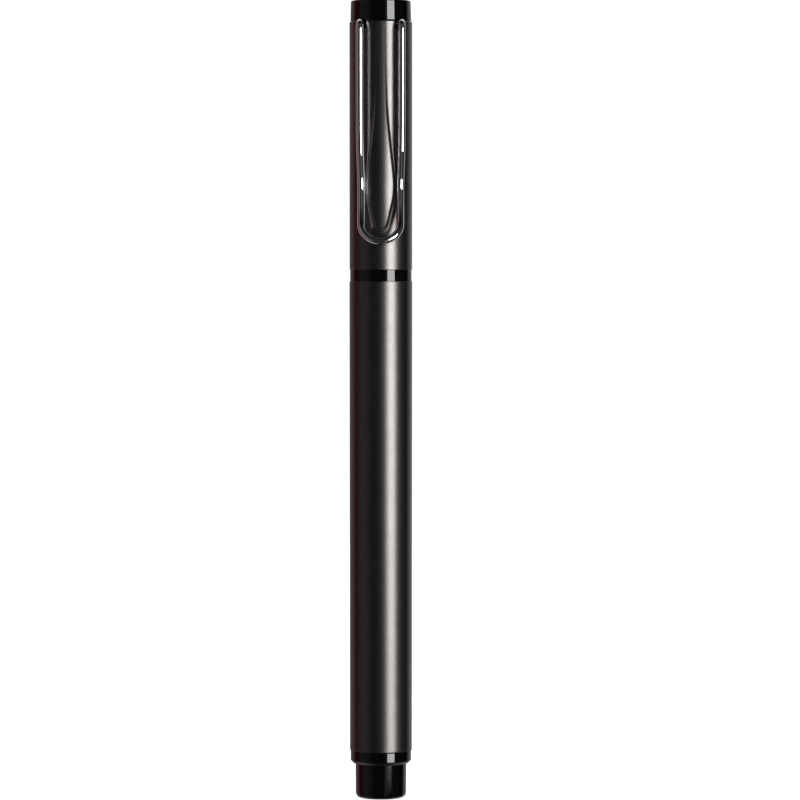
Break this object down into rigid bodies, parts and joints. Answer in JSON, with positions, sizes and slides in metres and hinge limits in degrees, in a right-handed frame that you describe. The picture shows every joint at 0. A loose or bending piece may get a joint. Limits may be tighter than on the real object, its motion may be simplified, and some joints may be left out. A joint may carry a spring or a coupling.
{
  "type": "rollerball pen",
  "caption": "Capped rollerball pen: slim round metal cap and barrel with gloss black end plugs and ring, bent wire clip, screw-in section, sprung refill.",
  "frame": {"origin": "centre of the flat end face of the tail plug", "axes": "+Z along the pen from the tail to the top of the cap; the clip is on the -Y side"},
  "size_m": [0.0108, 0.0149, 0.138],
  "materials": {
    "gunmetal": "satin, fine blasted grain",
    "gloss_black": "polished",
    "chrome": "polished",
    "brass": "turned",
    "nickel": "turned",
    "spring_steel": "drawn",
    "carbide": "lapped",
    "soft_rubber": "matt",
    "section_black": "satin",
    "liner_white": "moulded",
    "clear_tube": "clear",
    "holder_black": "moulded",
    "ink": "wet",
    "follower": "clear grease"
  },
  "bodies": {
    "barrel": {"barrel_tube": "gunmetal", "barrel_thread_bush": "brass", "tail_plug": "gloss_black", "refill_spring": "spring_steel"},
    "thread_washer": {"section_seal": "soft_rubber"},
    "section": {"grip_section": "section_black", "section_ring": "gloss_black", "nose_cone": "nickel"},
    "cap_ring": {"cap_snap_ring": "spring_steel"},
    "cap": {"cap_shell": "gunmetal", "cap_top_plug": "gloss_black", "clip_retainer": "brass", "inner_cap": "liner_white", "tip_seal": "soft_rubber"},
    "clip": {"clip_wire": "chrome"},
    "refill": {"refill_tube": "clear_tube", "refill_end_plug": "liner_white", "tip_holder": "holder_black", "writing_point": "nickel", "ink_column": "ink", "ink_follower": "follower"},
    "ball": {"writing_ball": "carbide"}
  },
  "joints": [
    {"name": "section_advance", "type": "slide", "parent": "barrel", "child": "thread_washer", "axis": [0, 0, 1], "range_m": [0, 0.004]},
    {"name": "section_turn", "type": "hinge", "parent": "thread_washer", "child": "section", "pos_m": [0, 0, 0.0896], "axis": [0, 0, 1], "range_deg": [0, 1800]},
    {"name": "cap_pull", "type": "slide", "parent": "section", "child": "cap_ring", "axis": [0, 0, 1], "range_m": [0, 0.06]},
    {"name": "cap_turn", "type": "hinge", "parent": "cap_ring", "child": "cap", "pos_m": [0, 0, 0.0943], "axis": [0, 0, 1], "continuous": true},
    {"name": "clip_flex", "type": "hinge", "parent": "cap", "child": "clip", "pos_m": [0, -0.0042, 0.1335], "axis": [-1, 0, 0], "range_deg": [0, 4], "stiffness_Nm_per_rad": 2},
    {"name": "refill_float", "type": "slide", "parent": "section", "child": "refill", "axis": [0, 0, -1], "range_m": [0, 0.001], "stiffness_N_per_m": 200, "springref_m": -0.004, "deforming": ["refill_spring"]},
    {"name": "ball_roll", "type": "hinge", "parent": "refill", "child": "ball", "pos_m": [0, 0, 0.12715], "axis": [1, 0, 0], "continuous": true}
  ],
  "couplings": [
    {"joint": "section_turn", "follows": "section_advance", "rad_per_m": 7854}
  ]
}
